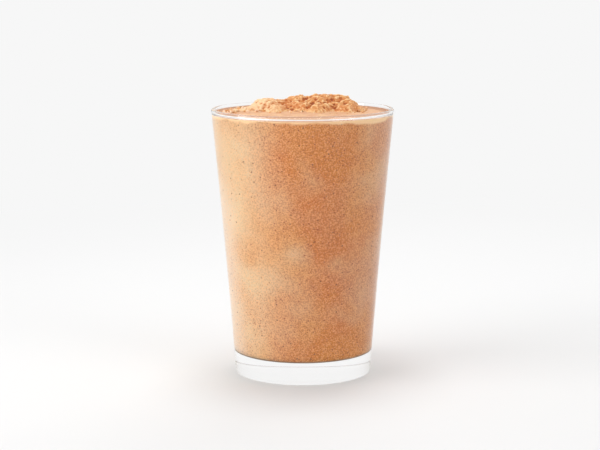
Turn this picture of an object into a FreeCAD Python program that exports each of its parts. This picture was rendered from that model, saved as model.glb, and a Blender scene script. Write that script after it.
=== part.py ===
import FreeCAD, Part

# A frozen coffee drink, served in a clear glass tumbler with a thick base. Three pieces, all about the
# Z axis: the pressed glass, the blended drink that fills it to just under the rim, and the heap of
# coarse slush that stands on the drink. Millimetres, +Z up, origin at the centre of the glass's foot.

import math
import os

import Sketcher

DIMENSIONS = {
    # The tumbler. Its wall bows inwards a little between foot and rim, on long arcs, and thins upwards.
    "glass_height": 125.4,
    "rim_radius": 43.0,
    "base_radius": 32.2,
    "flare_radius": 5000.0,
    "rim_wall": 1.5,
    "foot_wall": 2.4,
    "base_thickness": 10.0,
    "heel_radius": 3.0,
    "floor_fillet": 3.5,
    # The underside: a flat ring to stand on, round a shallow hollow.
    "ring_width": 4.0,
    "hollow_rise": 0.8,
    # The drink: how far its edge lies below the rim, and how far its middle rises above that edge.
    "fill_drop": 2.4,
    "dome_rise": 2.2,
    # The heap: its clearance from the wall at either end, its half width and its height on the drink.
    "heap_clearance": 7.0,
    "heap_half_width": 19.0,
    "heap_height": 6.2,
}

# The heap's lobes: where each lies along the heap and across it (at 1 or -1 its edge reaches the heap's
# end, and its middle the heap's side), its rise (a share of the height) and spread (of the half width).
LOBES = [
    # the long ridge, from the low left lobe over the peak to the right shoulder
    (-0.69, 0.16, 0.80, 0.46),
    (-0.34, 0.20, 0.60, 0.44),
    (-0.02, 0.26, 0.88, 0.56),
    (0.47, 0.18, 1.00, 0.60),
    (0.83, 0.12, 0.96, 0.50),
    # the front slope
    (-0.47, -0.32, 0.42, 0.34),
    (-0.11, -0.30, 0.56, 0.36),
    (0.27, -0.42, 0.50, 0.38),
    (0.63, -0.34, 0.54, 0.36),
    # the back slope
    (-0.41, 0.66, 0.52, 0.40),
    (0.12, 0.72, 0.66, 0.46),
    (0.60, 0.60, 0.60, 0.44),
    # low crumbs that spread towards the wall
    (-0.96, 0.10, 0.17, 0.26),
    (-0.84, 0.50, 0.26, 0.34),
    (0.93, 0.02, 0.30, 0.24),
]
LOBE_FULLNESS = 2.6  # 2 is a round cap, and more is flatter on top and steeper at the side
LOBE_BLEND = 5  # how sharply one lobe meets the next
BEND = 1.7  # how far the lobes' outlines are pushed about
BEND_WAVE = 3.1  # the length of that wave, for each radian
RIPPLE = 0.2  # the height of the small bumps on the lobes
RIPPLE_WAVE = 0.8  # their length, for each radian
RIPPLE_TWIST = 2.0  # how far they wander sideways, in radians
RIPPLE_FADE = 2.0  # the height of heap over which they grow to their full height
GRID_STEP = 1.6  # between the heights that the heap's top face passes through
DIP = 1.4  # how far that face dips under the drink round the lobes
ROOT = 6.0  # how far the heap is drawn down before the drink is cut from it
EDGE_GAP = 1.0  # left between the heap's blank and the wall

START, END, MIDDLE = 1, 2, 3  # a curve's ends and centre, as a sketch numbers them
ORIGIN = (-1, START)
HORIZONTAL_AXIS = -1
VERTICAL_AXIS = -2


def make_sheet(doc):
    """The spreadsheet, with one named cell for each driving dimension."""
    sheet = doc.addObject("Spreadsheet::Sheet", "sizes")
    for row, (name, value) in enumerate(DIMENSIONS.items(), start=1):
        sheet.set(f"A{row}", name)
        sheet.set(f"B{row}", str(value))
        sheet.setAlias(f"B{row}", name)
    doc.recompute()
    return sheet


def face_ends(sheet, inner):
    """Where the wall's outer or inner face would meet the planes of the rim and the foot."""
    rim = sheet.rim_radius - (sheet.rim_wall if inner else 0)
    foot = sheet.base_radius - (sheet.foot_wall if inner else 0)
    return FreeCAD.Vector(rim, sheet.glass_height, 0), FreeCAD.Vector(foot, 0, 0)


def face_centre(sheet, inner):
    """Centre of the arc of the flare radius that joins those two places, outside the glass."""
    rim, foot = face_ends(sheet, inner)
    chord = rim - foot
    reach = math.sqrt(sheet.flare_radius**2 - chord.Length**2 / 4)
    across = FreeCAD.Vector(chord.y, -chord.x, 0).normalize()
    return (rim + foot) / 2 + across * reach


def face_point(sheet, inner, z):
    """Where the half section of that face lies at height z."""
    centre = face_centre(sheet, inner)
    return FreeCAD.Vector(centre.x - math.sqrt(sheet.flare_radius**2 - (z - centre.y) ** 2), z, 0)


def new_body(doc, label):
    """An empty body and the sketch for its half section, in the body's own XZ plane."""
    body = doc.addObject("PartDesign::Body", label)
    sketch = body.newObject("Sketcher::SketchObject", label + "_section")
    plane = next(f for f in body.Origin.OriginFeatures if f.Role == "XZ_Plane")
    sketch.AttachmentSupport = [(plane, "")]
    sketch.MapMode = "FlatFace"
    return body, sketch


def turn(body, sketch):
    """Turns the half section once round the Z axis."""
    solid = body.newObject("PartDesign::Revolution", body.Label + "_turned")
    solid.Profile = (sketch, [""])
    solid.ReferenceAxis = (sketch, ["V_Axis"])
    solid.Angle = 360
    sketch.Visibility = False


def constrain(sketch, kind, *where):
    return sketch.addConstraint(Sketcher.Constraint(kind, *where))


def dimension(sketch, name, kind, where, expression):
    """A named dimension that follows an expression of the spreadsheet's cells."""
    value = sketch.evalExpression(expression)
    index = constrain(sketch, kind, *where, value)
    sketch.renameConstraint(index, name)
    sketch.setExpression("Constraints." + name, expression)


def line(sketch, start, end):
    return sketch.addGeometry(Part.LineSegment(start, end), False)


def arc(sketch, centre, start, end, construction=False):
    """An arc about centre, anticlockwise from start round to the direction of end."""
    first = math.atan2(start.y - centre.y, start.x - centre.x)
    last = math.atan2(end.y - centre.y, end.x - centre.x)
    if last < first:
        last += 2 * math.pi
    circle = Part.Circle(centre, FreeCAD.Vector(0, 0, 1), centre.distanceToPoint(start))
    return sketch.addGeometry(Part.ArcOfCircle(circle, first, last), construction)


def draw_flare(sketch, sheet, inner):
    """The construction arc that a face of the wall follows, from the rim's plane to the foot's."""
    rim, foot = face_ends(sheet, inner)
    flare = arc(sketch, face_centre(sheet, inner), rim, foot, construction=True)
    name = "bore_" if inner else "outer_"
    rim_size = "sizes.rim_radius - sizes.rim_wall" if inner else "sizes.rim_radius"
    foot_size = "sizes.base_radius - sizes.foot_wall" if inner else "sizes.base_radius"
    dimension(sketch, name + "rim", "DistanceX", (*ORIGIN, flare, START), rim_size)
    dimension(sketch, name + "foot", "DistanceX", (*ORIGIN, flare, END), foot_size)
    dimension(sketch, name + "height", "DistanceY", (*ORIGIN, flare, START), "sizes.glass_height")
    constrain(sketch, "PointOnObject", flare, END, HORIZONTAL_AXIS)
    dimension(sketch, name + "flare", "Radius", (flare,), "sizes.flare_radius")
    return flare


def draw_face(sketch, sheet, inner, top, foot):
    """The stretch of the wall's outer or inner face from top down to foot."""
    flare = draw_flare(sketch, sheet, inner)
    face = arc(sketch, face_centre(sheet, inner), top, foot)
    constrain(sketch, "Coincident", face, MIDDLE, flare, MIDDLE)
    constrain(sketch, "Equal", face, flare)
    return face


def draw_bore(sketch, sheet, top):
    """The glass's inner face from top down: its wall, the fillet in the corner and half the floor."""
    foot = face_point(sheet, True, sheet.base_thickness + sheet.floor_fillet)
    bend = foot - FreeCAD.Vector(sheet.floor_fillet, 0, 0)
    floor_edge = bend - FreeCAD.Vector(0, sheet.floor_fillet, 0)
    floor_middle = FreeCAD.Vector(0, sheet.base_thickness, 0)
    wall = draw_face(sketch, sheet, True, top, foot)
    fillet = arc(sketch, bend, floor_edge, foot)
    floor = line(sketch, floor_edge, floor_middle)
    constrain(sketch, "Tangent", wall, END, fillet, END)
    dimension(sketch, "floor_fillet", "Radius", (fillet,), "sizes.floor_fillet")
    constrain(sketch, "Tangent", fillet, START, floor, START)
    constrain(sketch, "Horizontal", floor)
    constrain(sketch, "PointOnObject", floor, END, VERTICAL_AXIS)
    floor_height = (*ORIGIN, floor, END)
    dimension(sketch, "base_thickness", "DistanceY", floor_height, "sizes.base_thickness")
    return wall, floor


def make_glass(doc, sheet):
    """The tumbler: flared wall with a round lip, thick flat floor, round heel and hollowed foot."""
    body, sketch = new_body(doc, "glass")
    lip_middle = sheet.glass_height - sheet.rim_wall / 2
    top = face_point(sheet, False, lip_middle)
    inner_top = face_point(sheet, True, lip_middle)
    foot = face_point(sheet, False, sheet.heel_radius)
    outer = draw_face(sketch, sheet, False, top, foot)
    inner, floor = draw_bore(sketch, sheet, inner_top)

    lip = arc(sketch, (top + inner_top) / 2, top, inner_top)
    constrain(sketch, "Tangent", lip, START, outer, START)
    constrain(sketch, "Tangent", lip, END, inner, START)
    lip_height = (*ORIGIN, lip, MIDDLE)
    dimension(
        sketch, "lip_middle", "DistanceY", lip_height, "sizes.glass_height - sizes.rim_wall / 2"
    )

    bend = foot - FreeCAD.Vector(sheet.heel_radius, 0, 0)
    ring_outside = bend - FreeCAD.Vector(0, sheet.heel_radius, 0)
    ring_inside = ring_outside - FreeCAD.Vector(sheet.ring_width, 0, 0)
    heel = arc(sketch, bend, ring_outside, foot)
    ring = line(sketch, ring_inside, ring_outside)
    constrain(sketch, "Tangent", heel, END, outer, END)
    dimension(sketch, "heel_radius", "Radius", (heel,), "sizes.heel_radius")
    constrain(sketch, "Tangent", ring, END, heel, START)
    constrain(sketch, "Horizontal", ring)
    constrain(sketch, "PointOnObject", ring, START, HORIZONTAL_AXIS)
    dimension(sketch, "ring_width", "DistanceX", (ring, START, ring, END), "sizes.ring_width")

    rise = sheet.hollow_rise
    hollow_centre = FreeCAD.Vector(0, (rise**2 - ring_inside.x**2) / (2 * rise), 0)
    hollow_top = FreeCAD.Vector(0, rise, 0)
    hollow = arc(sketch, hollow_centre, ring_inside, hollow_top)
    axis = line(sketch, FreeCAD.Vector(0, sheet.base_thickness, 0), hollow_top)
    constrain(sketch, "Coincident", hollow, START, ring, START)
    constrain(sketch, "PointOnObject", hollow, MIDDLE, VERTICAL_AXIS)
    dimension(sketch, "hollow_rise", "DistanceY", (*ORIGIN, hollow, END), "sizes.hollow_rise")
    constrain(sketch, "Coincident", axis, START, floor, END)
    constrain(sketch, "Coincident", axis, END, hollow, END)
    constrain(sketch, "PointOnObject", axis, END, VERTICAL_AXIS)
    turn(body, sketch)
    return body


def make_drink(doc, sheet):
    """The drink: it fills the bore from the floor up to its edge, and its top is gently domed."""
    body, sketch = new_body(doc, "drink")
    edge = drink_edge(sheet)
    inner, floor = draw_bore(sketch, sheet, edge)
    dome_top = edge.y + sheet.dome_rise
    dome_centre = FreeCAD.Vector(0, dome_top - dome_radius(sheet), 0)
    dome = arc(sketch, dome_centre, edge, FreeCAD.Vector(0, dome_top, 0))
    axis = line(sketch, FreeCAD.Vector(0, dome_top, 0), FreeCAD.Vector(0, sheet.base_thickness, 0))
    constrain(sketch, "Coincident", dome, START, inner, START)
    constrain(sketch, "PointOnObject", dome, MIDDLE, VERTICAL_AXIS)
    edge_height = (*ORIGIN, dome, START)
    dimension(sketch, "fill_height", "DistanceY", edge_height, "sizes.glass_height - sizes.fill_drop")
    dimension(sketch, "dome_rise", "DistanceY", (dome, START, dome, END), "sizes.dome_rise")
    constrain(sketch, "Coincident", axis, START, dome, END)
    constrain(sketch, "Coincident", axis, END, floor, END)
    constrain(sketch, "PointOnObject", axis, START, VERTICAL_AXIS)
    turn(body, sketch)
    return body


def drink_edge(sheet):
    """Where the drink's top meets the glass, in the half section."""
    return face_point(sheet, True, sheet.glass_height - sheet.fill_drop)


def dome_radius(sheet):
    """Radius of the drink's domed top."""
    return (drink_edge(sheet).x ** 2 + sheet.dome_rise**2) / (2 * sheet.dome_rise)


def heap_lift(sheet, half_length, x, y):
    """How far the heap stands above the drink at x, y: its lobes run into each other, with creases."""
    bent_x = x + BEND * math.cos(y / BEND_WAVE)
    bent_y = y + BEND * math.sin(x / BEND_WAVE)
    lifts = []
    for along, across, rise, spread in LOBES:
        radius = spread * sheet.heap_half_width
        lobe_x = along * (half_length - BEND - radius)
        lobe_y = across * sheet.heap_half_width
        share = math.hypot(bent_x - lobe_x, bent_y - lobe_y) / radius
        lifts.append(sheet.heap_height * rise * (1 - share**LOBE_FULLNESS))
    if max(lifts) <= 0:
        return max(*lifts, -DIP)
    joined = sum(max(lift, 0) ** LOBE_BLEND for lift in lifts) ** (1 / LOBE_BLEND)
    ripple = math.sin(x / RIPPLE_WAVE + RIPPLE_TWIST * math.sin(y / BEND_WAVE))
    ripple += math.sin(y / RIPPLE_WAVE - RIPPLE_TWIST * math.sin(x / BEND_WAVE))
    return joined + RIPPLE * ripple * min(joined / RIPPLE_FADE, 1)


def heap_surface(sheet, half_length, x, y):
    """The height of the heap's top face at x, y, on the drink's dome."""
    radius = dome_radius(sheet)
    centre_height = drink_edge(sheet).y + sheet.dome_rise - radius
    dome = centre_height + math.sqrt(radius**2 - x**2 - y**2)
    return dome + heap_lift(sheet, half_length, x, y)


def steps(reach):
    """Evenly spaced places from -reach to reach, about one grid step apart."""
    count = math.ceil(2 * reach / GRID_STEP)
    return [reach * (2 * i / count - 1) for i in range(count + 1)]


def make_heap(doc, sheet, drink):
    """The slush heap: a lobed block within the bore, cut off where it meets the drink."""
    edge_radius = drink_edge(sheet).x
    half_length = edge_radius - sheet.heap_clearance
    furthest = max(abs(across) + spread for _, across, _, spread in LOBES)
    half_depth = furthest * sheet.heap_half_width + BEND
    heights = []
    for x in steps(half_length):
        row = [FreeCAD.Vector(x, y, heap_surface(sheet, half_length, x, y)) for y in steps(half_depth)]
        heights.append(row)
    top = Part.BSplineSurface()
    top.interpolate(heights)
    block = top.toShape().extrude(FreeCAD.Vector(0, 0, -ROOT))
    bore = Part.makeCylinder(edge_radius - EDGE_GAP, 2 * sheet.glass_height)
    blank = doc.addObject("Part::Feature", "heap_blank")
    blank.Shape = block.common(bore)

    heap = doc.addObject("Part::Cut", "slush_crown")
    heap.Base = blank
    heap.Tool = drink
    return heap


def check(doc, pieces):
    """Stops unless every object is sound and every piece is one valid solid."""
    for thing in doc.Objects:
        if "Invalid" in thing.State or "Error" in thing.State:
            raise RuntimeError(f"{thing.Label} failed: {thing.State}")
        if thing.TypeId == "Sketcher::SketchObject" and not thing.FullyConstrained:
            raise RuntimeError(f"{thing.Label} isn't fully constrained")
    for piece in pieces:
        if piece.Shape.isNull() or not piece.Shape.isValid() or len(piece.Shape.Solids) != 1:
            raise RuntimeError(f"{piece.Label} isn't one valid solid")


doc = FreeCAD.newDocument("frozen_coffee_drink")
sheet = make_sheet(doc)
glass = make_glass(doc, sheet)
drink = make_drink(doc, sheet)
doc.recompute()
slush_crown = make_heap(doc, sheet, drink)
doc.recompute()

pieces = [glass, drink, slush_crown]
check(doc, pieces)
os.makedirs("parts", exist_ok=True)
for piece in pieces:
    piece.Shape.exportStep(f"parts/{piece.Label}.step")
    print(f"{piece.Label}: {piece.Shape.Volume / 1000:.1f} ml")
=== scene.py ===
"""A frozen blended coffee drink in a clear flared tumbler, with a low heap of coarse slush and its crumbs.

Everything is in metres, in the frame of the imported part: the glass stands on z = 0, centred on the z axis,
and the front of the drink faces -Y. Sizes of the drink's pieces are in mm until MM makes them metres.
"""

import math
import random

import bpy
import numpy as np
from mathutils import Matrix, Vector


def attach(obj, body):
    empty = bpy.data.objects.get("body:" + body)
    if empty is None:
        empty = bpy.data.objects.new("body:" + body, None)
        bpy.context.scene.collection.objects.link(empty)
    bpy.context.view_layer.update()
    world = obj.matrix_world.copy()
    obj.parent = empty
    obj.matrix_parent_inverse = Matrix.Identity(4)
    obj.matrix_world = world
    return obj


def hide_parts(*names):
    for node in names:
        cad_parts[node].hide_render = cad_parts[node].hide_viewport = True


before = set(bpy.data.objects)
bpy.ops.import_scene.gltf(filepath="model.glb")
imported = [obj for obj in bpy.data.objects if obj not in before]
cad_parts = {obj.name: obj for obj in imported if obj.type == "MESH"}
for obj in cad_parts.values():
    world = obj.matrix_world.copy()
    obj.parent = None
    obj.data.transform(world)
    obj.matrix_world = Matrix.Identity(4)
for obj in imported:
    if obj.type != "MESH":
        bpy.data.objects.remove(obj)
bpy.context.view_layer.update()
MM = 0.001

# ---------------------------------------------------------------- camera
# A long lens a little above the rim, looking down just enough to open the rim into a thin ellipse.
CAMERA_PLACE = (-1.05 * MM, -796 * MM, 198.5 * MM)
CAMERA_DROP = 9.18
CAMERA_ROLL = 0.12
CAMERA_LENS = 102

bpy.ops.object.select_all(action="DESELECT")
bpy.ops.object.camera_add(location=CAMERA_PLACE)
camera = bpy.context.object
camera.name = "camera"
camera.rotation_euler = (math.radians(90 - CAMERA_DROP), math.radians(CAMERA_ROLL), 0)
camera.data.lens = CAMERA_LENS
camera.data.sensor_width = 36
camera.data.clip_start = 0.01
camera.data.clip_end = 60
bpy.context.scene.camera = camera
bpy.context.scene.view_settings.view_transform = "Standard"


# ---------------------------------------------------------------- floor and surroundings
# A wide sheet of white board, and an even pale room round it. Near the glass the board is lit and keeps the
# shadow. Farther off, and where it is seen through the glass, it has the even white of the room.
FLOOR_SIZE = 30
FLOOR_DROP = 0.05 * MM
FLOOR_COLOUR = (0.78, 0.78, 0.78)
FLOOR_ROUGHNESS = 0.9
FADE_START = 0.10
FADE_END = 0.55
# Under the foot, this far round the axis, the board shines with the room's white for every ray that meets it
# from above. That keeps the clear base pale, and it lights the underside of the drink a little too.
UNDER_FOOT = 0.029
ROOM_LIGHT = 0.52
ROOM_WHITE = 0.93
EDITOR_COLUMN = 200
EDITOR_ROW = 160


def add_node(tree, kind, place, **settings):
    """A new node with its settings; place is its column and row in the node editor."""
    node = tree.nodes.new(kind)
    node.location = (place[0] * EDITOR_COLUMN, place[1] * EDITOR_ROW)
    for name, value in settings.items():
        setattr(node, name, value)
    return node


def feed(tree, socket, value):
    """Feeds a node's input: a socket is linked to it, a colour or a number is set on it."""
    if isinstance(value, bpy.types.NodeSocket):
        tree.links.new(value, socket)
    elif isinstance(value, tuple):
        socket.default_value = (*value, 1)
    else:
        socket.default_value = value


def do_math(tree, operation, first, second, place, **settings):
    """The result of a Math node on two sockets or numbers."""
    node = add_node(tree, "ShaderNodeMath", place, operation=operation, **settings)
    feed(tree, node.inputs[0], first)
    feed(tree, node.inputs[1], second)
    return node.outputs[0]


def spread_range(tree, value, low, high, place, least=0, most=1):
    """value from low to high, spread smoothly over least to most."""
    node = add_node(tree, "ShaderNodeMapRange", place, interpolation_type="SMOOTHSTEP")
    limits = {"Value": value, "From Min": low, "From Max": high, "To Min": least, "To Max": most}
    for name, limit in limits.items():
        feed(tree, node.inputs[name], limit)
    return node.outputs["Result"]


def start_material(name):
    """A material whose nodes are just a Principled shader and the output; gives material, tree and shader."""
    material = bpy.data.materials.new(name)
    material.use_nodes = True
    tree = material.node_tree
    tree.nodes.clear()
    shader = add_node(tree, "ShaderNodeBsdfPrincipled", (8, 0))
    output = add_node(tree, "ShaderNodeOutputMaterial", (10, 0))
    tree.links.new(shader.outputs["BSDF"], output.inputs["Surface"])
    return material, tree, shader


def mix_to_surface(tree, factor, first, second):
    """Ends a material or a world with two shaders, mixed by a factor."""
    mix = add_node(tree, "ShaderNodeMixShader", (9, 0))
    output = next(node for node in tree.nodes if "Output" in node.bl_idname)
    tree.links.new(factor, mix.inputs["Fac"])
    tree.links.new(first, mix.inputs[1])
    tree.links.new(second, mix.inputs[2])
    tree.links.new(mix.outputs[0], output.inputs["Surface"])


def give_material(piece, material):
    """The piece has this material only."""
    piece.data.materials.clear()
    piece.data.materials.append(material)


def seen_plainly(tree):
    """Two values: 1 where the camera sees this surface, mirrored or through glass too, and 0 where it only
    gives light; and 1 where it is seen through glass."""
    ray = add_node(tree, "ShaderNodeLightPath", (-4, 3)).outputs
    seen = do_math(tree, "MAXIMUM", ray["Is Camera Ray"], ray["Is Glossy Ray"], (-3, 3))
    seen = do_math(tree, "MAXIMUM", seen, ray["Is Transmission Ray"], (-2, 3))
    unscattered = do_math(tree, "LESS_THAN", ray["Diffuse Depth"], 0.5, (-3, 2))
    seen = do_math(tree, "MULTIPLY", seen, unscattered, (-1, 3))
    return seen, ray["Is Transmission Ray"]


bpy.ops.object.select_all(action="DESELECT")
bpy.ops.mesh.primitive_plane_add(size=FLOOR_SIZE, location=(0, 0, -FLOOR_DROP))
floor = bpy.context.object
floor.name = "floor"
board, tree, shader = start_material("white_board")
feed(tree, shader.inputs["Base Color"], FLOOR_COLOUR)
feed(tree, shader.inputs["Roughness"], FLOOR_ROUGHNESS)
place = add_node(tree, "ShaderNodeTexCoord", (0, 0)).outputs["Object"]
length = add_node(tree, "ShaderNodeVectorMath", (1, 0), operation="LENGTH")
feed(tree, length.inputs[0], place)
distance = length.outputs["Value"]
seen, through = seen_plainly(tree)
white = spread_range(tree, distance, FADE_START, FADE_END, (2, 0))
white = do_math(tree, "MAXIMUM", white, through, (4, 1))
white = do_math(tree, "MULTIPLY", white, seen, (5, 1))
below = add_node(tree, "ShaderNodeNewGeometry", (4, 4)).outputs["Backfacing"]
under_foot = do_math(tree, "LESS_THAN", distance, UNDER_FOOT, (4, 2))
under_foot = do_math(tree, "SUBTRACT", under_foot, below, (5, 3), use_clamp=True)
white = do_math(tree, "MAXIMUM", under_foot, white, (6, 1))
glow = add_node(tree, "ShaderNodeEmission", (8, -2))
feed(tree, glow.inputs["Strength"], ROOM_WHITE)
mix_to_surface(tree, white, shader.outputs["BSDF"], glow.outputs["Emission"])
give_material(floor, board)

world = bpy.data.worlds.new("pale_room")
bpy.context.scene.world = world
world.use_nodes = True
tree = world.node_tree
tree.nodes.clear()
add_node(tree, "ShaderNodeOutputWorld", (10, 0))
light = add_node(tree, "ShaderNodeBackground", (8, 0))
white = add_node(tree, "ShaderNodeBackground", (8, -1))
for background, strength in ((light, ROOM_LIGHT), (white, ROOM_WHITE)):
    feed(tree, background.inputs["Color"], (1, 1, 1))
    feed(tree, background.inputs["Strength"], strength)
mix_to_surface(tree, seen_plainly(tree)[0], light.outputs[0], white.outputs[0])


# ---------------------------------------------------------------- lamps
# Three soft boxes: a large one at the left, which draws the pale side of the glass, and weaker ones at the
# right and overhead. A wash from behind lights the far side of the drink. The overhead box and the wash are
# not mirrored, and a long card above the lens is only mirrored: it draws the bright line along the lip.
LAMPS = [
    # name, place and size in m, power in W, lights surfaces, is mirrored
    ("key_left", (-0.95, -0.40, 0.45), (0.9, 0.9), 7.5, True, True),
    ("fill_right", (0.95, -0.70, 0.40), (0.7, 0.9), 4.0, True, True),
    ("top", (0.0, 0.12, 1.0), (0.4, 0.4), 3.8, True, False),
    ("back_wash", (0.25, 0.95, 0.40), (0.8, 0.8), 4.0, True, False),
    ("lip_card", (0.0, -1.2, 0.68), (1.8, 0.10), 5.0, False, True),
]
LAMP_TARGET = Vector((0, 0, 0.075))


def skip_doubled_light(lamp):
    """The glass lets a lamp's light straight through to the drink, so light that the drink sends back out
    through the glass to the same lamp would count it twice."""
    lamp.use_nodes = True
    tree = lamp.node_tree
    tree.nodes.clear()
    ray = add_node(tree, "ShaderNodeLightPath", (0, 0)).outputs
    through, scattered = ray["Is Transmission Ray"], ray["Diffuse Depth"]
    doubled = do_math(tree, "MULTIPLY", through, scattered, (1, 0), use_clamp=True)
    glow = add_node(tree, "ShaderNodeEmission", (3, 0))
    feed(tree, glow.inputs["Strength"], do_math(tree, "SUBTRACT", 1, doubled, (2, 0)))
    output = add_node(tree, "ShaderNodeOutputLight", (4, 0))
    tree.links.new(glow.outputs["Emission"], output.inputs["Surface"])


for name, place, size, power, lights, mirrored in LAMPS:
    bpy.ops.object.light_add(type="AREA", location=place)
    lamp = bpy.context.object
    lamp.name = name
    lamp.data.shape = "RECTANGLE"
    lamp.data.size, lamp.data.size_y = size
    lamp.data.energy = power
    lamp.visible_camera = False
    lamp.visible_diffuse = lights
    lamp.visible_glossy = mirrored
    lamp.visible_transmission = lights and mirrored
    lamp.rotation_euler = (LAMP_TARGET - Vector(place)).to_track_quat("-Z", "Y").to_euler()
    skip_doubled_light(lamp.data)


# ---------------------------------------------------------------- glass
# A pressed clear tumbler with a flared wall, a round lip, a thick flat base and a shallow hollow under it.
# It is turned from one outline: under the base, up the outside, over the lip, down the bore to its floor.
GLASS_HEIGHT = 125.4
RIM_RADIUS = 43.0
FOOT_RADIUS = 32.2
RIM_WALL = 1.5
FOOT_WALL = 2.4
WALL_BOW = 0.396
BASE_THICKNESS = 10.0
FLOOR_FILLET = 3.5
# The heel is crisp and the hollow shallow, as a rounder heel throws brown bands across the clear base.
HEEL_RADIUS = 0.12
HOLLOW_RISE = 0.35
RING_WIDTH = 4.0
# The lip is a bead, set in a hair from the wall and pinched off from it by a slight neck.
LIP_RADIUS = 0.98
LIP_INSET = 0.04
LIP_ARC = (-40, 220)
NECK_DROP = 2.1
NECK_PINCH = 0.10
# Where the outline has its points: radii in the hollow, steps across the ring, radii on the floor, how many
# round each arc and up the wall, and how far below the neck the wall's outer and inner faces end.
HOLLOW_RADII = (0.5, 4, 8, 12, 16, 20, 23, 24.6)
RING_STEPS = (0, 0.4, 2, 3.6)
FLOOR_RADII = (26.8, 20, 12, 4, 0.5)
BEND_ARC = (-90, -4)
BEND_STEPS = 12
LIP_STEPS = 26
WALL_STEPS = 30
BELOW_NECK = (1, 0.5)
GLASS_FACETS = 192
SMOOTH_ANGLE = 35
GLASS_IOR = 1.5
GLASS_LETS_BY = (0.95, 0.95, 0.95)


def wall_radius(foot, rim, height):
    """Radius in mm of a wall face at this height: a straight flare that bows in a little halfway up."""
    share = height / GLASS_HEIGHT
    return foot + (rim - foot) * share - 4 * WALL_BOW * share * (1 - share)


def outside_radius(height):
    """Radius in mm of the wall's outer face at this height."""
    return wall_radius(FOOT_RADIUS, RIM_RADIUS, height)


def bore_radius(height):
    """Radius in mm of the wall's inner face at this height."""
    return wall_radius(FOOT_RADIUS - FOOT_WALL, RIM_RADIUS - RIM_WALL, height)


def arc_points(centre, radius, start, end, count):
    """Points (radius, height) along an arc, its angles in degrees, both ends included."""
    turns = [math.radians(start + (end - start) * k / count) for k in range(count + 1)]
    return [(centre[0] + radius * math.cos(a), centre[1] + radius * math.sin(a)) for a in turns]


def spaced(start, end, count):
    """count evenly spaced values strictly between start and end."""
    return [start + (end - start) * k / (count + 1) for k in range(1, count + 1)]


def turn_piece(name, outline, facets):
    """A turned piece: a circle extruded and scaled from one point of the outline to the next.

    outline is (radius, height) in mm and starts and ends near the axis, where the piece is closed to a pole.
    """
    bpy.ops.object.select_all(action="DESELECT")
    radius, height = outline[0]
    bpy.ops.mesh.primitive_circle_add(
        vertices=facets, radius=radius * MM, fill_type="TRIFAN", location=(0, 0, height * MM)
    )
    piece = bpy.context.object
    piece.name = name
    bpy.ops.object.transform_apply(location=True, rotation=True, scale=True)
    bpy.ops.object.mode_set(mode="EDIT")
    bpy.ops.mesh.select_mode(type="EDGE")
    bpy.ops.mesh.select_all(action="SELECT")
    bpy.ops.mesh.region_to_loop()
    for next_radius, next_height in outline[1:]:
        bpy.ops.mesh.extrude_region_move(
            TRANSFORM_OT_translate={"value": (0, 0, (next_height - height) * MM)}
        )
        scale = next_radius / radius
        bpy.ops.transform.resize(value=(scale, scale, 1), center_override=(0, 0, next_height * MM))
        radius, height = next_radius, next_height
    bpy.ops.mesh.extrude_region_move(TRANSFORM_OT_translate={"value": (0, 0, 0)})
    bpy.ops.mesh.merge(type="CENTER")
    bpy.ops.mesh.select_all(action="SELECT")
    bpy.ops.mesh.normals_make_consistent(inside=False)
    bpy.ops.object.mode_set(mode="OBJECT")
    bpy.ops.object.shade_smooth_by_angle(angle=math.radians(SMOOTH_ANGLE))
    return piece


neck = GLASS_HEIGHT - NECK_DROP
lip_centre = (RIM_RADIUS - LIP_INSET - LIP_RADIUS, GLASS_HEIGHT - LIP_RADIUS)
ring_outside = outside_radius(HEEL_RADIUS) - HEEL_RADIUS
ring_inside = ring_outside - RING_WIDTH
heel_centre = (ring_outside, HEEL_RADIUS)
fillet_top = BASE_THICKNESS + FLOOR_FILLET
fillet_centre = (bore_radius(fillet_top) - FLOOR_FILLET, fillet_top)

glass_outline = [(r, HOLLOW_RISE * (1 - (r / ring_inside) ** 2)) for r in HOLLOW_RADII]
glass_outline += [(ring_inside + step, 0) for step in RING_STEPS]
glass_outline += arc_points(heel_centre, HEEL_RADIUS, *BEND_ARC, BEND_STEPS)
outer_heights = spaced(HEEL_RADIUS, neck - BELOW_NECK[0], WALL_STEPS)
glass_outline += [(outside_radius(h), h) for h in outer_heights]
glass_outline += [(outside_radius(neck) - NECK_PINCH, neck)]
glass_outline += arc_points(lip_centre, LIP_RADIUS, *LIP_ARC, LIP_STEPS)
glass_outline += [(bore_radius(neck) + NECK_PINCH / 2, neck)]
inner_heights = spaced(neck - BELOW_NECK[1], fillet_top, WALL_STEPS)
glass_outline += [(bore_radius(h), h) for h in inner_heights]
glass_outline += arc_points(fillet_centre, FLOOR_FILLET, *BEND_ARC[::-1], BEND_STEPS)
glass_outline += [(r, BASE_THICKNESS) for r in FLOOR_RADII]

glass = turn_piece("tumbler", glass_outline, GLASS_FACETS)

clear_glass, tree, shader = start_material("clear_glass")
feed(tree, shader.inputs["Base Color"], (1, 1, 1))
feed(tree, shader.inputs["Roughness"], 0)
feed(tree, shader.inputs["IOR"], GLASS_IOR)
feed(tree, shader.inputs["Transmission Weight"], 1)
see_through = add_node(tree, "ShaderNodeBsdfTransparent", (8, -2))
feed(tree, see_through.inputs["Color"], GLASS_LETS_BY)
ray = add_node(tree, "ShaderNodeLightPath", (8, 2)).outputs
mix_to_surface(tree, ray["Is Shadow Ray"], shader.outputs["BSDF"], see_through.outputs["BSDF"])
give_material(glass, clear_glass)
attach(glass, "root")
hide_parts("glass")


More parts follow.
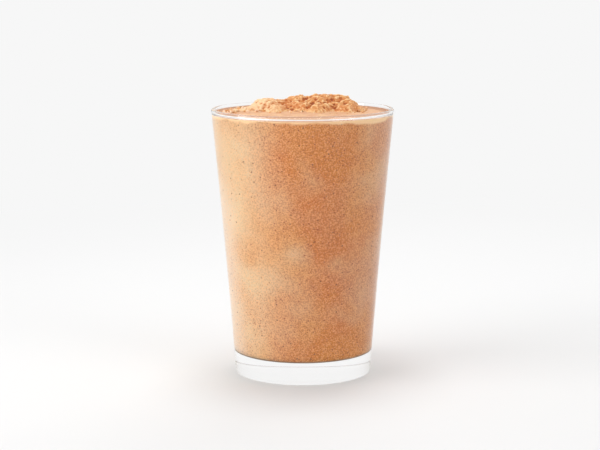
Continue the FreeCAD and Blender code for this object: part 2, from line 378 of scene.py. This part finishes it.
# ---------------------------------------------------------------- blended drink
# Coffee, milk and ice blended until it pours like a thick shake, full of fine air bubbles. It fills the bore
# up to just under the lip, its top is gently domed and stands a little higher at the far wall. It reaches a
# hair into the wall, so no air shows between the two.
DRINK_REACH = 0.15
DRINK_EDGE = 123.0
EDGE_ROUND = 0.15
EDGE_SETBACK = 0.02
DOME_RISE = 2.2
DRINK_FLOOR_RADII = (0.5, 6, 14, 21, 26)
DRINK_BEND_STEPS = 10
DRINK_STEPS = 60
DRINK_POLE = 0.6
DRINK_FACETS = 240
# The top ripples, all but a still rim of this width, and it ripples fully a band's width farther in. The
# ripples are patterns: name, kind, size and height.
STILL_RIM = 0.8
RIM_BAND = 3
DRINK_WAVES = [
    ("swirls", "CLOUDS", 9, 0.9),
    ("froth_bumps", "CLOUDS", 2.6, 0.35),
]
# The far edge climbs the wall: how much, how thick the edge is, and over which y it comes to full height.
FAR_CLIMB = 1.0
FAR_EDGE_DEPTH = 0.2
FAR_Y = (2, 12)
DRINK_DEEP = (0.615, 0.188, 0.014)
DRINK_PALE = (0.73, 0.55, 0.325)
BUBBLE_DARK = (0.33, 0.055, 0.002)
BUBBLE_LIGHT = (0.90, 0.50, 0.22)
PINHOLE = (0.17, 0.032, 0.001)
WARM_PATCH = (0.70, 0.27, 0.010)
ROSY_PATCH = (0.60, 0.27, 0.14)
FROTH_CREAM = (0.95, 0.66, 0.36)
SKIN_PEACH = (0.62, 0.31, 0.17)
SKIN_LIGHT = (0.74, 0.46, 0.24)
# Painted shade where the drink's foot turns under.
FOOT_SHADE_OLIVE = (0.22, 0.12, 0.045)
SLUSH_RUST = (0.62, 0.22, 0.06)
# Painted light: the drink's underside lies in shade and is painted pale cream.
UNDERSIDE_LIT_CREAM = (0.88, 0.83, 0.76)
# Painted shade: a dark ring on the top inside the rim, for the dark line at the lip's edge.
RIM_SHADE_COLOUR = (0.42, 0.20, 0.11)
# Painted reflection: a cream strip at the left edge, for the lamp at the left.
LEFT_REFLECTION_CREAM = (0.80, 0.66, 0.50)
# Where the drink pales and where foam settles: x or z in mm where a change starts and where it is full, and
# its share.
# Painted light: paler at the left, most of all high up, for the lamp at the left and its pale veil on the
# glass;
# paler at the right, a painted reflection of the lamp at the right.
LIT_LEFT_X = (14, -35)
LIT_LEFT_HIGH_X = (0, -26)
HIGH_Z = (74, 86)
RIGHT_REFLECTION_X = (14, 38)
RIGHT_REFLECTION = 0.50
SETTLED_Z = (32, 12)
SETTLED = 0.14
# Soft swirls in the drink behind the front wall: x, z and reach in mm, and how much paler, or deeper below 0.
SWIRLS = [
    (-3, 64, 11, 0.46),
    (-1, 31, 13, 0.24),
    (-14, 80, 16, 0.20),
    (3, 98, 10, 0.28),
    (26, 40, 22, 0.46),
    (33, 96, 18, 0.36),
    (17, 108, 15, -0.34),
    (29, 118, 11, 0.26),
    (0, 104, 8, 0.30),
    (17, 14, 20, -0.68),
    (-8, 24, 9, 0.18),
    (14, 58, 8, 0.30),
    (12, 84, 14, -0.14),
    (-20, 60, 14, -0.10),
    (-11, 104, 15, -0.14),
]
# Rosy clouds are fuller at the right. A painted reflection of the lamp at the left, a strip of cream, lies
# low at the left edge of the glass; where it starts and is full is x as a share of the radius.
ROSY_RIGHT_X = (4, 33)
ROSY_LEAST = 0.30
LEFT_REFLECTION_SPAN = (-0.74, -0.96)
LEFT_REFLECTION_Z = (104, 76)
LEFT_REFLECTION_SHARE = 0.75
# Bubbles show through thick drink and not through foam, nor where the sides are painted pale by light, and
# they are more crowded higher up.
THICK_FOAM = (1.62, 0.25)
CROWD_Z = (30, 105)
CROWD_RISE = 0.22
CROWD_LEAST = 0.88
GRAIN_DARK = 0.36
GRAIN_LIGHT = 0.45
SMALL_DARK = 0.70
GLINT_LIGHT = 0.56
# Spots of each kind: how many to a metre, their radius as a share of their spacing, and the share there is.
SMALL_SPOTS = (820, 0.37, 0.95)
MEDIUM_SPOTS = (460, 0.23, 0.50)
LARGE_SPOTS = (300, 0.15, 0.55)
GLINT_SPOTS = (930, 0.34, 0.8)
SPOT_CORE = 0.35
# The froth line at the wall, the skin on top, a ring of painted shade inside the rim, and the drink's foot
# with its painted shade and its underside painted pale, in mm.
FROTH_Z = (121.5, 123.0)
FROTH_RIPPLE = (-1.0, 0.9)
FROTH_BANK = 1.6
SKIN_Z = (122.90, 123.02)
SKIN_RUST = 0.5
RIM_SHADE_FROM_WALL = (7.0, 1.5)
RIM_SHADE_SHARE = 0.8
FOOT_Z = (11.2, 10.2)
UNDER_Z = (10.15, 9.95)
# The sockets of a Mix node that mixes colours: factor, first and second colour, and its result.
MIX_INPUTS = (0, 6, 7)
MIX_RESULT = 2


def apply_modifier(piece, kind, **settings):
    """Adds a modifier to a piece and applies it at once."""
    bpy.ops.object.select_all(action="DESELECT")
    piece.select_set(True)
    bpy.context.view_layer.objects.active = piece
    bpy.ops.object.modifier_add(type=kind)
    modifier = piece.modifiers[-1]
    for name, value in settings.items():
        setattr(modifier, name, value)
    bpy.ops.object.modifier_apply(modifier=modifier.name)


def press_pattern(piece, name, kind, size, strength, group=""):
    """Moves a piece's skin in and out by a procedural pattern; size and strength in mm. A vertex group
    keeps it to one part."""
    pattern = bpy.data.textures.new(name, "CLOUDS" if kind == "FOLDS" else kind)
    pattern.noise_scale = size * MM
    if kind == "CLOUDS":
        pattern.noise_depth = 2
    if kind == "FOLDS":
        pattern.noise_type = "HARD_NOISE"
        pattern.noise_depth = 1
    apply_modifier(
        piece,
        "DISPLACE",
        texture=pattern,
        texture_coords="LOCAL",
        strength=strength * MM,
        mid_level=0.5,
        vertex_group=group,
    )


def dome_height(radius):
    """Height in mm of the drink's domed top at this radius."""
    return DRINK_EDGE + DOME_RISE * (1 - (radius / drink_edge_radius) ** 2)


def share_of(value, start, full):
    """How far value is from start to full, kept within 0 and 1."""
    return min(1, max(0, (value - start) / (full - start)))


drink_edge_radius = bore_radius(DRINK_EDGE) + DRINK_REACH
edge_inside = drink_edge_radius - EDGE_ROUND
drink_outline = [(r, BASE_THICKNESS - DRINK_REACH) for r in DRINK_FLOOR_RADII]
drink_outline += arc_points(fillet_centre, FLOOR_FILLET + DRINK_REACH, *BEND_ARC, DRINK_BEND_STEPS)
wall_heights = spaced(fillet_top, DRINK_EDGE - 2 * EDGE_ROUND, DRINK_STEPS)
drink_outline += [(bore_radius(h) + DRINK_REACH, h) for h in wall_heights]
drink_outline += [(drink_edge_radius - EDGE_SETBACK, DRINK_EDGE - EDGE_ROUND), (edge_inside, DRINK_EDGE)]
drink_outline += [(r, dome_height(r)) for r in spaced(edge_inside, DRINK_POLE, DRINK_STEPS)]
drink = turn_piece("blended_drink", drink_outline, DRINK_FACETS)
top = drink.vertex_groups.new(name="top")
far_edge = drink.vertex_groups.new(name="far_edge")
for point in drink.data.vertices:
    x, y, z = (value / MM for value in point.co)
    inward = drink_edge_radius - math.hypot(x, y)
    rippled = share_of(inward, STILL_RIM, STILL_RIM + RIM_BAND)
    lifted = share_of(y, *FAR_Y) * share_of(inward, RIM_BAND, 0)
    if z > DRINK_EDGE and rippled > 0:
        top.add([point.index], rippled, "REPLACE")
    if z > DRINK_EDGE - FAR_EDGE_DEPTH and lifted > 0:
        far_edge.add([point.index], lifted, "REPLACE")
climb = {"direction": "Z", "strength": FAR_CLIMB * MM, "mid_level": 0, "vertex_group": "far_edge"}
apply_modifier(drink, "DISPLACE", **climb)
for name, kind, size, strength in DRINK_WAVES:
    press_pattern(drink, name, kind, size, strength, "top")


def start_group(name, inputs, output):
    """A node group with a vector input, these further inputs and one output; gives it and its inputs."""
    group = bpy.data.node_groups.new(name, "ShaderNodeTree")
    group.interface.new_socket(name="Vector", in_out="INPUT", socket_type="NodeSocketVector")
    for socket_name, kind in inputs:
        group.interface.new_socket(name=socket_name, in_out="INPUT", socket_type="NodeSocket" + kind)
    group.interface.new_socket(name=output, in_out="OUTPUT", socket_type="NodeSocketFloat")
    return group, add_node(group, "NodeGroupInput", (0, 0)).outputs


def end_group(group, result):
    """Links the group's one output."""
    out = add_node(group, "NodeGroupOutput", (5, 0))
    group.links.new(result, out.inputs[0])
    return group


def make_spot_group():
    """Round spots scattered through a volume: air bubbles, pinholes and grains, cut open by the surface."""
    further = [("Scale", "Float"), ("Radius", "Float"), ("Share", "Float")]
    group, into = start_group("scattered_spots", further, "Mask")
    cells = add_node(group, "ShaderNodeTexVoronoi", (1, 0), voronoi_dimensions="3D", feature="F1")
    feed(group, cells.inputs["Vector"], into["Vector"])
    feed(group, cells.inputs["Scale"], into["Scale"])
    core = do_math(group, "MULTIPLY", into["Radius"], SPOT_CORE, (1, 2))
    spot = spread_range(group, cells.outputs["Distance"], core, into["Radius"], (2, 1), 1, 0)
    split = add_node(group, "ShaderNodeSeparateColor", (2, -1))
    feed(group, split.inputs["Color"], cells.outputs["Color"])
    kept = do_math(group, "LESS_THAN", split.outputs["Red"], into["Share"], (3, -1))
    return end_group(group, do_math(group, "MULTIPLY", spot, kept, (4, 0)))


def make_swirl_group():
    """One soft swirl: full at its centre and gone at its reach; paler where above 0, deeper where below."""
    further = [("Centre", "Vector"), ("Reach", "Float"), ("Amount", "Float")]
    group, into = start_group("one_swirl", further, "Change")
    away = add_node(group, "ShaderNodeVectorMath", (1, 0), operation="DISTANCE")
    feed(group, away.inputs[0], into["Vector"])
    feed(group, away.inputs[1], into["Centre"])
    change = spread_range(group, away.outputs["Value"], into["Reach"], 0, (2, 0), 0, into["Amount"])
    return end_group(group, change)


spot_group = make_spot_group()
swirl_group = make_swirl_group()


def add_spots(tree, vector, place, scale, radius, share):
    """The scattered spots in this material; gives the mask."""
    node = add_node(tree, "ShaderNodeGroup", place)
    node.node_tree = spot_group
    for name, value in (("Vector", vector), ("Scale", scale), ("Radius", radius), ("Share", share)):
        feed(tree, node.inputs[name], value)
    return node.outputs["Mask"]


def add_swirl(tree, vector, place, x, z, reach, amount):
    """One swirl in this material, its centre on the drink's front face; gives the change."""
    node = add_node(tree, "ShaderNodeGroup", place)
    node.node_tree = swirl_group
    depth = math.sqrt(bore_radius(z) ** 2 - x**2)
    node.inputs["Centre"].default_value = (x * MM, -depth * MM, z * MM)
    for name, value in (("Vector", vector), ("Reach", reach * MM), ("Amount", amount)):
        feed(tree, node.inputs[name], value)
    return node.outputs["Change"]


def add_noise(tree, vector, place, scale, low, high, detail=2, least=0, most=1):
    """Cloudy noise, scale clouds to a metre, whose values from low to high are spread over least to most."""
    noise = add_node(tree, "ShaderNodeTexNoise", place, noise_dimensions="3D")
    for name, value in (("Vector", vector), ("Scale", scale), ("Detail", detail)):
        feed(tree, noise.inputs[name], value)
    beside = (place[0] + 1, place[1])
    return spread_range(tree, noise.outputs["Fac"], low, high, beside, least, most)


def spread_mm(tree, value, span, place):
    """value spread smoothly over 0 to 1 between two places in mm."""
    return spread_range(tree, value, span[0] * MM, span[1] * MM, place)


def mix_colours(tree, factor, first, second, place):
    """Two colours, sockets or numbers, mixed by a factor."""
    node = add_node(tree, "ShaderNodeMix", place, data_type="RGBA")
    for number, value in zip(MIX_INPUTS, (factor, first, second)):
        feed(tree, node.inputs[number], value)
    return node.outputs[MIX_RESULT]


drink_look, tree, shader = start_material("blended_coffee")
place = add_node(tree, "ShaderNodeTexCoord", (-8, 0)).outputs["Object"]
split = add_node(tree, "ShaderNodeSeparateXYZ", (-7, 2))
feed(tree, split.inputs[0], place)
across, height = split.outputs["X"], split.outputs["Z"]
flat = add_node(tree, "ShaderNodeVectorMath", (-7, 14), operation="MULTIPLY")
flat.inputs[1].default_value = (1, 1, 0)
feed(tree, flat.inputs[0], place)
length = add_node(tree, "ShaderNodeVectorMath", (-6, 14), operation="LENGTH")
feed(tree, length.inputs[0], flat.outputs[0])
radius = length.outputs["Value"]

# Foam and painted light: the drink is paler at the left, most of all high up, and at the right, which is
# painted light from the lamps at the sides and their veil on the glass; there is foam in clouds and swirls,
# and less low down.
left = spread_mm(tree, across, LIT_LEFT_X, (-6, 4))
steeper = spread_mm(tree, across, LIT_LEFT_HIGH_X, (-7, 5))
steeper = do_math(tree, "SUBTRACT", steeper, left, (-6, 5))
steeper = do_math(tree, "MULTIPLY", steeper, spread_mm(tree, height, HIGH_Z, (-7, 4)), (-5, 6))
left = do_math(tree, "ADD", left, steeper, (-4, 6))
right = spread_mm(tree, across, RIGHT_REFLECTION_X, (-6, 3))
right = do_math(tree, "MULTIPLY", right, RIGHT_REFLECTION, (-5, 3))
cloud = add_noise(tree, place, (-7, 6), scale=38, low=0.38, high=0.66, detail=3, least=-0.17, most=0.19)
foam_and_light = do_math(tree, "ADD", left, cloud, (-4, 5))
foam_and_light = do_math(tree, "ADD", foam_and_light, right, (-3, 5))
for row, swirl in enumerate(SWIRLS, start=4):
    change = add_swirl(tree, place, (-9, row), *swirl)
    foam_and_light = do_math(tree, "ADD", foam_and_light, change, (-8, row))
settled = spread_mm(tree, height, SETTLED_Z, (-8, 10))
settled = do_math(tree, "MULTIPLY", settled, SETTLED, (-7, 10))
foam_and_light = do_math(tree, "SUBTRACT", foam_and_light, settled, (-6, 10))
thick = spread_range(tree, foam_and_light, *THICK_FOAM, (-6, 0))

# The body's colour: deep drink to pale foam and painted light, with warm and rosy clouds and a painted
# reflection, the cream strip at the left edge.
body = mix_colours(tree, foam_and_light, DRINK_DEEP, DRINK_PALE, (-5, 4))
warm = add_noise(tree, place, (-8, 12), scale=30, low=0.46, high=0.60, most=0.40)
warm = do_math(tree, "MULTIPLY", warm, thick, (-6, 12))
body = mix_colours(tree, warm, body, WARM_PATCH, (-5, 3))
rosy = add_noise(tree, place, (-8, 15), scale=34, low=0.54, high=0.38, most=0.32)
rosier = spread_mm(tree, across, ROSY_RIGHT_X, (-8, 16))
rosier = do_math(tree, "ADD", rosier, ROSY_LEAST, (-7, 16))
rosy = do_math(tree, "MULTIPLY", rosy, rosier, (-5, 15))
body = mix_colours(tree, rosy, body, ROSY_PATCH, (-4, 4))
# Painted reflection: a cream strip low at the left edge, for the lamp at the left mirrored in the glass.
turned = do_math(tree, "DIVIDE", across, radius, (-5, 7))
left_reflection = spread_range(tree, turned, *LEFT_REFLECTION_SPAN, (-4, 7))
low_down = spread_mm(tree, height, LEFT_REFLECTION_Z, (-5, 8))
low_down = do_math(tree, "MULTIPLY", low_down, LEFT_REFLECTION_SHARE, (-4, 8))
left_reflection = do_math(tree, "MULTIPLY", left_reflection, low_down, (-3, 7))
body = mix_colours(tree, left_reflection, body, LEFT_REFLECTION_CREAM, (-3, 4))

# Fine grain, then bubbles and pinholes of four sizes.
crowd = add_noise(tree, place, (-7, -2), scale=60, low=0.36, high=0.60, least=0.35)
risen = spread_mm(tree, height, CROWD_Z, (-7, -3))
risen = do_math(tree, "MULTIPLY", risen, CROWD_RISE, (-6, -3))
risen = do_math(tree, "ADD", risen, CROWD_LEAST, (-5, -2))
crowd = do_math(tree, "MULTIPLY", crowd, risen, (-4, -2))
grain = add_noise(tree, place, (-7, 0), scale=1500, low=0.32, high=0.68, detail=1)
dim = spread_range(tree, grain, 0.5, 0, (-5, 0))
dim = do_math(tree, "MULTIPLY", dim, thick, (-4, 0))
dim = do_math(tree, "MULTIPLY", dim, GRAIN_DARK, (-3, 0))
bright = spread_range(tree, grain, 0.5, 1, (-5, 1))
bright = do_math(tree, "MULTIPLY", bright, GRAIN_LIGHT, (-3, 1))
small = add_spots(tree, place, (-6, -4), *SMALL_SPOTS)
small = do_math(tree, "MULTIPLY", small, crowd, (-5, -3))
small = do_math(tree, "MULTIPLY", small, thick, (-4, -3))
small = do_math(tree, "MULTIPLY", small, SMALL_DARK, (-3, -3))
glint = add_spots(tree, place, (-6, -6), *GLINT_SPOTS)
glint = do_math(tree, "MULTIPLY", glint, GLINT_LIGHT, (-5, -6))
large = add_spots(tree, place, (-6, -8), *LARGE_SPOTS)
medium = add_spots(tree, place, (-6, -10), *MEDIUM_SPOTS)
medium = do_math(tree, "MULTIPLY", medium, thick, (-5, -10))
colour = mix_colours(tree, bright, body, BUBBLE_LIGHT, (-3, 2))
colour = mix_colours(tree, dim, colour, BUBBLE_DARK, (-2, 1))
colour = mix_colours(tree, glint, colour, BUBBLE_LIGHT, (-2, 2))
colour = mix_colours(tree, small, colour, BUBBLE_DARK, (-1, 2))
colour = mix_colours(tree, medium, colour, BUBBLE_DARK, (0, 2))
colour = mix_colours(tree, large, colour, PINHOLE, (0, 3))

# The froth line dips and rises along the wall and is banked up at the right; then the skin of the top.
dip, rise = (ripple * MM for ripple in FROTH_RIPPLE)
ripple = add_noise(tree, place, (-5, 8), scale=70, low=0.3, high=0.7, least=dip, most=rise)
banked = do_math(tree, "MULTIPLY", right, FROTH_BANK * MM, (-5, 9))
ripple = do_math(tree, "ADD", ripple, banked, (-4, 8))
level = do_math(tree, "ADD", height, ripple, (-3, 8))
froth = spread_mm(tree, level, FROTH_Z, (-2, 8))
colour = mix_colours(tree, froth, colour, FROTH_CREAM, (1, 2))
skin = add_noise(tree, place, (-5, 10), scale=260, low=0.25, high=0.80, detail=4)
skin = mix_colours(tree, skin, SKIN_PEACH, SKIN_LIGHT, (-2, 11))
rusty = do_math(tree, "MULTIPLY", small, SKIN_RUST, (-2, 9))
skin = mix_colours(tree, rusty, skin, SLUSH_RUST, (-1, 11))
# Painted shade: the top darkens in a ring inside the rim, for the dark line seen at the lip's edge.
rim_shade_radii = [drink_edge_radius - inward for inward in RIM_SHADE_FROM_WALL]
rim_shade = spread_mm(tree, radius, rim_shade_radii, (-2, 14))
rim_shade = do_math(tree, "MULTIPLY", rim_shade, RIM_SHADE_SHARE, (-1, 14))
skin = mix_colours(tree, rim_shade, skin, RIM_SHADE_COLOUR, (0, 11))
on_top = spread_mm(tree, height, SKIN_Z, (-2, 10))
colour = mix_colours(tree, on_top, colour, skin, (2, 2))

# Painted shade: the foot darkens where it turns under. Its underside lies in shade and is painted pale cream,
# as it shows through the glass's base.
foot = spread_mm(tree, height, FOOT_Z, (-2, 12))
colour = mix_colours(tree, foot, colour, FOOT_SHADE_OLIVE, (3, 2))
# Painted light: the shaded underside is painted pale cream.
under = spread_mm(tree, height, UNDER_Z, (-2, 13))
colour = mix_colours(tree, under, colour, UNDERSIDE_LIT_CREAM, (4, 2))
feed(tree, shader.inputs["Base Color"], colour)
feed(tree, shader.inputs["Roughness"], 0.6)
give_material(drink, drink_look)
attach(drink, "root")
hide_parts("drink")


# ---------------------------------------------------------------- slush heap
# The last of the blender's load, coarser and drier than the rest, left standing on the drink as a low heap.
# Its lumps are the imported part's own; the clefts, granules and grit are pressed into a fine skin over them.
HEAP_SKIN = 0.40
HEAP_FINE_SKIN = 0.24
HEAP_SINK = 0.30
HEAP_WELD = 0.001
# Patterns pressed into the coarse and then the fine skin: name, kind, size and depth in mm.
HEAP_WAVES = [
    ("lumps", "CLOUDS", 5.0, 1.5),
    ("folds", "FOLDS", 3.8, -1.5),
]
HEAP_GRIT = [
    ("granules", "VORONOI", 1.5, 0.42),
    ("grit", "CLOUDS", 0.6, 0.50),
]
# Attributes that tell clefts from crests, where shade and highlight are painted: name, rounds of smoothing to
# compare with, and depth in mm.
HEAP_HOLLOWS = [
    ("proud", 60, 0.55),
    ("broad", 240, 1.3),
]
# Painted shade in clefts and valleys.
SLUSH_CLEFT_SHADE = (0.30, 0.055, 0.005)
SLUSH_VALLEY_SHADE = (0.52, 0.150, 0.022)
SLUSH_BODY = (0.64, 0.27, 0.085)
# Painted highlight on crests, also the colour of the pale grains.
SLUSH_CREST_HIGHLIGHT = (0.88, 0.57, 0.28)
SLUSH_LIT_LEFT = (0.90, 0.65, 0.39)
# Painted shade in clefts and broad valleys, and a painted highlight on crests: how proud each lies, from
# where it starts to where it is full.
CLEFT_LEVELS = (0.46, 0.30)
VALLEY_LEVELS = (0.55, 0.40)
VALLEY = 0.95
CREST_LEVELS = (0.54, 0.80)
# Painted light: the heap is paler at the left, towards the lamp at the left, and its painted shade is lighter
# there.
LIT_LEFT_HEAP_X = (-6, -20)
LIT_LEFT_HEAP = 0.75
FLECKS = (620, 0.34, 0.45)
FLECK = 0.55
GRAINS = (820, 0.36, 0.6)
GRAIN = 0.6


def mark_hollows(piece, layers):
    """Writes attributes that run from 0 in a cleft to 1 on a crest: how far each point stands proud of the
    piece smoothed this many rounds, with a depth in mm."""
    mesh = piece.data
    count = len(mesh.vertices)
    points = np.empty(count * 3)
    mesh.vertices.foreach_get("co", points)
    points = points.reshape(-1, 3)
    normals = np.empty(count * 3)
    mesh.vertices.foreach_get("normal", normals)
    normals = normals.reshape(-1, 3)
    ends = np.empty(len(mesh.edges) * 2, dtype=np.int64)
    mesh.edges.foreach_get("vertices", ends)
    first, second = ends.reshape(-1, 2).T
    number = np.bincount(first, minlength=count) + np.bincount(second, minlength=count)
    smooth = points.copy()
    done = 0
    for name, rounds, depth in layers:
        for _ in range(rounds - done):
            total = np.zeros_like(smooth)
            for axis in range(3):
                total[:, axis] = np.bincount(first, smooth[second, axis], count)
                total[:, axis] += np.bincount(second, smooth[first, axis], count)
            smooth = (smooth + total / number[:, None]) / 2
        done = rounds
        proud = ((points - smooth) * normals).sum(axis=1)
        level = np.clip(0.5 + proud / (2 * depth * MM), 0, 1)
        mesh.attributes.new(name, "FLOAT", "POINT").data.foreach_set("value", level.astype(np.float32))


heap = bpy.data.objects.new("slush_heap", bpy.data.objects["slush_crown"].data.copy())
bpy.context.scene.collection.objects.link(heap)
apply_modifier(heap, "WELD", merge_threshold=HEAP_WELD * MM)
for skin, patterns in ((HEAP_SKIN, HEAP_WAVES), (HEAP_FINE_SKIN, HEAP_GRIT)):
    apply_modifier(heap, "REMESH", mode="VOXEL", voxel_size=skin * MM, use_smooth_shade=True)
    for name, kind, size, strength in patterns:
        press_pattern(heap, name, kind, size, strength)
mark_hollows(heap, HEAP_HOLLOWS)
bpy.ops.object.select_all(action="DESELECT")
heap.select_set(True)
bpy.context.view_layer.objects.active = heap
bpy.ops.object.mode_set(mode="EDIT")
bpy.ops.mesh.select_all(action="SELECT")
bpy.ops.transform.translate(value=(0, 0, -HEAP_SINK * MM))
bpy.ops.object.mode_set(mode="OBJECT")

slush_look, tree, shader = start_material("coarse_slush")
place = add_node(tree, "ShaderNodeTexCoord", (-8, 0)).outputs["Object"]
proud = add_node(tree, "ShaderNodeAttribute", (-8, 3), attribute_name="proud").outputs["Fac"]
broad = add_node(tree, "ShaderNodeAttribute", (-8, 5), attribute_name="broad").outputs["Fac"]
split = add_node(tree, "ShaderNodeSeparateXYZ", (-7, 8))
feed(tree, split.inputs[0], place)
# Painted light on the left of the heap, which also lightens the painted shade in its clefts.
lit_left_heap = spread_mm(tree, split.outputs["X"], LIT_LEFT_HEAP_X, (-6, 8))
lit_left_heap = do_math(tree, "MULTIPLY", lit_left_heap, LIT_LEFT_HEAP, (-5, 8))
patch = add_noise(tree, place, (-7, 4), scale=130, low=0.40, high=0.62, least=0.25)
# Painted shade: darker in clefts and in broad valleys, less so at the lit left.
cleft_shade = spread_range(tree, proud, *CLEFT_LEVELS, (-5, 3))
cleft_shade = do_math(tree, "MULTIPLY", cleft_shade, patch, (-4, 3))
cleft_shade = do_math(tree, "SUBTRACT", cleft_shade, lit_left_heap, (-3, 3))
cleft_shade = do_math(tree, "MAXIMUM", cleft_shade, 0, (-2, 4))
valley_shade = spread_range(tree, broad, *VALLEY_LEVELS, (-5, 6))
valley_shade = do_math(tree, "MULTIPLY", valley_shade, VALLEY, (-4, 6))
# Painted highlight: lighter on crests.
crest_highlight = spread_range(tree, proud, *CREST_LEVELS, (-5, 5))
rust = add_noise(tree, place, (-7, -2), scale=150, low=0.44, high=0.64, detail=3, most=0.9)
fleck = add_spots(tree, place, (-7, -4), *FLECKS)
fleck = do_math(tree, "MULTIPLY", fleck, FLECK, (-6, -4))
grain = add_spots(tree, place, (-7, -6), *GRAINS)
grain = do_math(tree, "MULTIPLY", grain, GRAIN, (-6, -6))
colour = mix_colours(tree, rust, SLUSH_BODY, SLUSH_RUST, (-5, 2))
colour = mix_colours(tree, crest_highlight, colour, SLUSH_CREST_HIGHLIGHT, (-4, 2))
colour = mix_colours(tree, grain, colour, SLUSH_CREST_HIGHLIGHT, (-3, 3))
colour = mix_colours(tree, lit_left_heap, colour, SLUSH_LIT_LEFT, (-3, 2))
colour = mix_colours(tree, fleck, colour, SLUSH_RUST, (-2, 2))
colour = mix_colours(tree, valley_shade, colour, SLUSH_VALLEY_SHADE, (-1, 3))
colour = mix_colours(tree, cleft_shade, colour, SLUSH_CLEFT_SHADE, (-1, 2))
feed(tree, shader.inputs["Base Color"], colour)
feed(tree, shader.inputs["Roughness"], 0.5)
give_material(heap, slush_look)
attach(heap, "root")
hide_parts("slush_crown")


# ---------------------------------------------------------------- loose crumbs
# Crumbs of the same slush that rolled off the heap and lie half sunk in the froth: a thin drift towards the
# left of the rim, a few at the right, and a ragged apron along the front of the heap's foot.
CRUMB_SEED = 11
CRUMB_DRIFTS = {
    # how many, x range, y range and size range, all in mm
    "left": (58, (-37, -18), (-12, 22), (0.9, 2.7)),
    "front": (42, (-20, 26), (-19, -9), (0.5, 1.3)),
    "right": (26, (22, 31), (-10, 14), (1.0, 2.4)),
}
# Colours of the crumbs and how often each comes, and how much lighter or darker one crumb is.
CRUMB_TONES = [(0.80, 0.50, 0.26), (0.88, 0.66, 0.46), (0.72, 0.34, 0.10), (0.30, 0.17, 0.055)]
CRUMB_TONE_SHARES = [10, 6, 4, 1]
CRUMB_LIGHTNESS = (0.85, 1.1)
CRUMB_DEPTH = (0.6, 1.0)
CRUMB_HEIGHT = (0.5, 0.9)
CRUMB_OFF_WALL = 2.5
CRUMB_LIFT = 0.25
CRUMB_GRAIN = 0.5
CRUMB_FACES = ("crumb_faces", "CLOUDS", 0.8, 0.5)

chance = random.Random(CRUMB_SEED)
crumb_list = []
for count, x_range, y_range, size_range in CRUMB_DRIFTS.values():
    for _ in range(count):
        x = chance.uniform(*x_range)
        y = chance.uniform(*y_range)
        size = chance.uniform(*size_range) * MM / 2
        off_axis = math.hypot(x, y)
        if off_axis > drink_edge_radius - CRUMB_OFF_WALL:
            continue
        bpy.ops.mesh.primitive_uv_sphere_add(
            segments=8,
            ring_count=5,
            radius=size,
            location=(x * MM, y * MM, dome_height(off_axis) * MM + size * CRUMB_LIFT),
            rotation=[chance.uniform(0, 3) for _ in range(3)],
            scale=(1, chance.uniform(*CRUMB_DEPTH), chance.uniform(*CRUMB_HEIGHT)),
        )
        crumb = bpy.context.object
        tone = chance.choices(CRUMB_TONES, CRUMB_TONE_SHARES)[0]
        lightness = chance.uniform(*CRUMB_LIGHTNESS)
        shade = [min(1, value * lightness) for value in tone] + [1]
        layer = crumb.data.color_attributes.new("tone", "FLOAT_COLOR", "POINT")
        layer.data.foreach_set("color", shade * len(crumb.data.vertices))
        crumb_list.append(crumb)
bpy.ops.object.select_all(action="DESELECT")
for crumb in crumb_list:
    crumb.select_set(True)
crumbs = crumb_list[0]
bpy.context.view_layer.objects.active = crumbs
bpy.ops.object.join()
crumbs.name = "loose_crumbs"
bpy.ops.object.transform_apply(location=True, rotation=True, scale=True)
press_pattern(crumbs, *CRUMB_FACES)

crumb_look, tree, shader = start_material("slush_crumbs")
place = add_node(tree, "ShaderNodeTexCoord", (-4, 0)).outputs["Object"]
tone = add_node(tree, "ShaderNodeVertexColor", (-4, 2), layer_name="tone").outputs["Color"]
grain = add_noise(tree, place, (-4, -2), scale=900, low=0.35, high=0.65)
grain = do_math(tree, "MULTIPLY", grain, CRUMB_GRAIN, (-2, -2))
colour = mix_colours(tree, grain, tone, SLUSH_RUST, (-1, 2))
feed(tree, shader.inputs["Base Color"], colour)
feed(tree, shader.inputs["Roughness"], 0.45)
give_material(crumbs, crumb_look)
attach(crumbs, "root")
